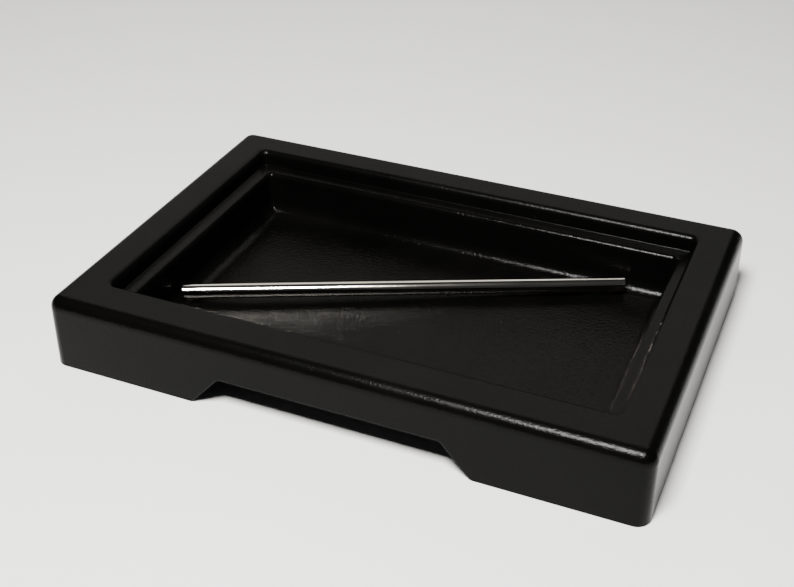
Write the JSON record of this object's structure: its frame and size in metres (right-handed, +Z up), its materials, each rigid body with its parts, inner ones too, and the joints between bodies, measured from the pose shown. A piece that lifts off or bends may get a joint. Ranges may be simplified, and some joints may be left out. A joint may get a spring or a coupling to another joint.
{
  "type": "incense burner",
  "caption": "Low rectangular incense burner tray with a stepped basin, notched skirt feet and a loose steel rod across the basin floor.",
  "frame": {"origin": "on the table plane, under the centre of the tray", "axes": "+X along the tray's long side, +Y from the front to the back, +Z up"},
  "size_m": [0.3, 0.203, 0.0385],
  "materials": {
    "tray": "satin",
    "rod": "polished"
  },
  "bodies": {
    "tray": {"tray": "tray"},
    "rod": {"rod": "rod"}
  },
  "joints": [
    {"name": "rod_lift", "type": "slide", "parent": "tray", "child": "rod", "axis": [0, 0, 1], "range_m": [0, 0.06]}
  ]
}
